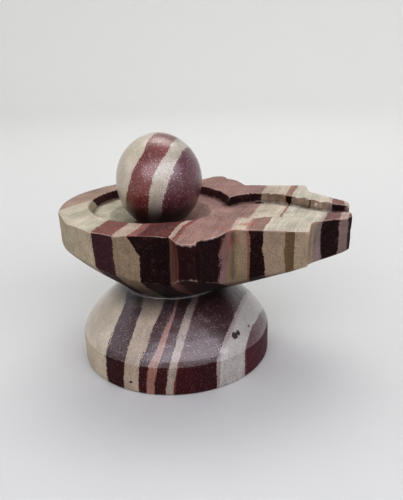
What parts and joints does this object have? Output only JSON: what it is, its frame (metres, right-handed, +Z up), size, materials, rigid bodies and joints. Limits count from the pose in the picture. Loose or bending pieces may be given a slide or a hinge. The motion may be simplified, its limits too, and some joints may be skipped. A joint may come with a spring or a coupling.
{
  "type": "shiva lingam",
  "caption": "Small shiva lingam of banded sandstone: a polished egg-shaped stone resting in a carved yoni base with a round foot, a waist, a shallow dish and a spout",
  "frame": {"origin": "middle of the foot's flat underside, on the ground", "axes": "+X along the spout to its tip, +Z up"},
  "size_m": [0.1002, 0.082, 0.0804],
  "materials": {
    "base_stone": "banded sandstone, honed dish, polished foot",
    "lingam_stone": "banded sandstone, polished"
  },
  "bodies": {
    "root": {"yoni_base": "base_stone", "lingam": "lingam_stone"}
  },
  "joints": []
}
